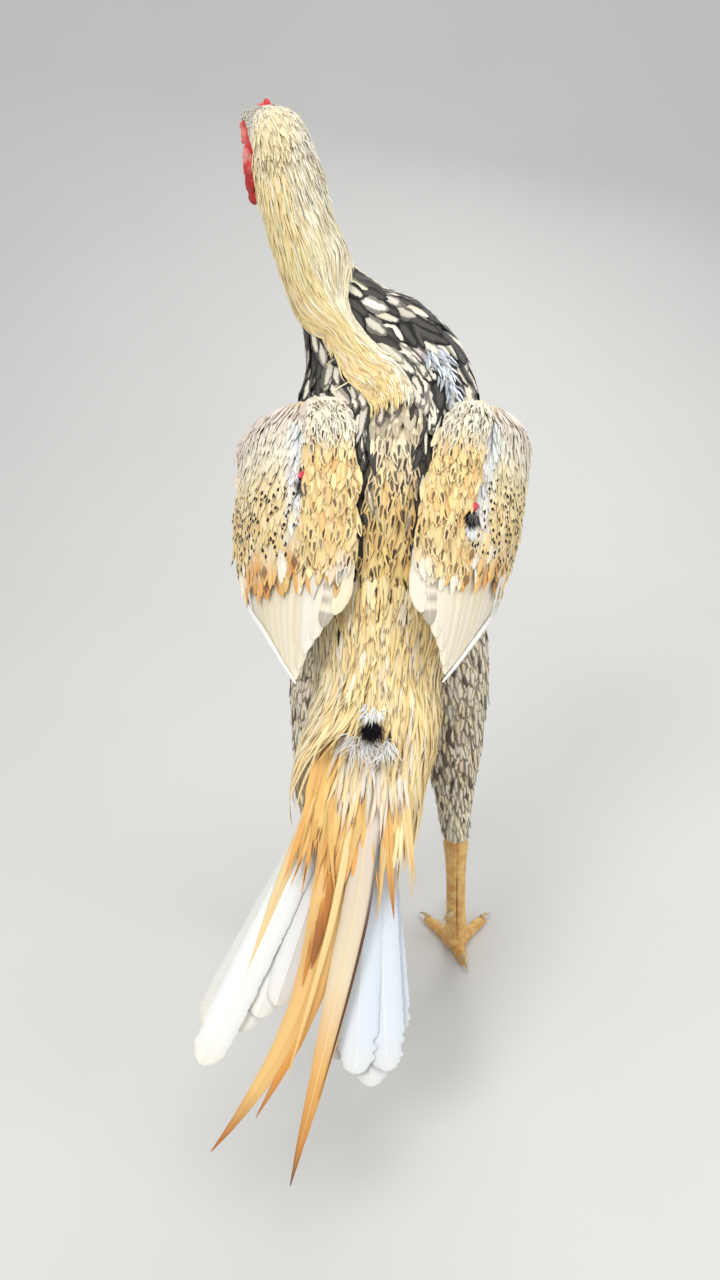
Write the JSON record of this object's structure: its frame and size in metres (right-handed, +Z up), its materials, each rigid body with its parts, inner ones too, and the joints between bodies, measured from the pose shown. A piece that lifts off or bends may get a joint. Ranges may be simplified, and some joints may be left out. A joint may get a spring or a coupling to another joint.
{
  "type": "aseel rooster model",
  "caption": "Life-size still model of an aseel rooster standing upright, wings held a little off its back, neck leaning to its left and tail drooping.",
  "frame": {"origin": "On the floor, under the middle of the bird's whole box", "axes": "+Z up, +Y the way the bird faces, +X to its right"},
  "size_m": [0.2526, 0.45, 0.7578],
  "materials": {
    "cream_feather": "soft layered cream feathers",
    "spangled_feather": "soft feathers, cream laced with black",
    "golden_feather": "long golden-orange feathers with white ones under them",
    "red_skin": "bare red skin, finely wrinkled",
    "leg_scale": "yellow to orange-brown scales",
    "horn": "satin horn",
    "eye": "wet, pale pearl iris"
  },
  "bodies": {
    "root": {"head": "red_skin", "comb": "red_skin", "earlobe_left": "red_skin", "earlobe_right": "red_skin", "dewlap": "red_skin", "eye_left": "eye", "eye_right": "eye", "bill_upper": "horn", "bill_lower": "horn", "neck": "cream_feather", "torso": "spangled_feather", "rump": "cream_feather", "tail": "golden_feather", "wing_left": "cream_feather", "wing_right": "cream_feather", "thigh_left": "spangled_feather", "thigh_right": "spangled_feather", "shank_left": "leg_scale", "shank_right": "leg_scale", "foot_left": "leg_scale", "foot_right": "leg_scale", "spur_left": "horn", "spur_right": "horn", "claw_left_middle": "horn", "claw_left_inner": "horn", "claw_left_outer": "horn", "claw_left_hind": "horn", "claw_right_middle": "horn", "claw_right_inner": "horn", "claw_right_outer": "horn", "claw_right_hind": "horn"}
  },
  "joints": []
}
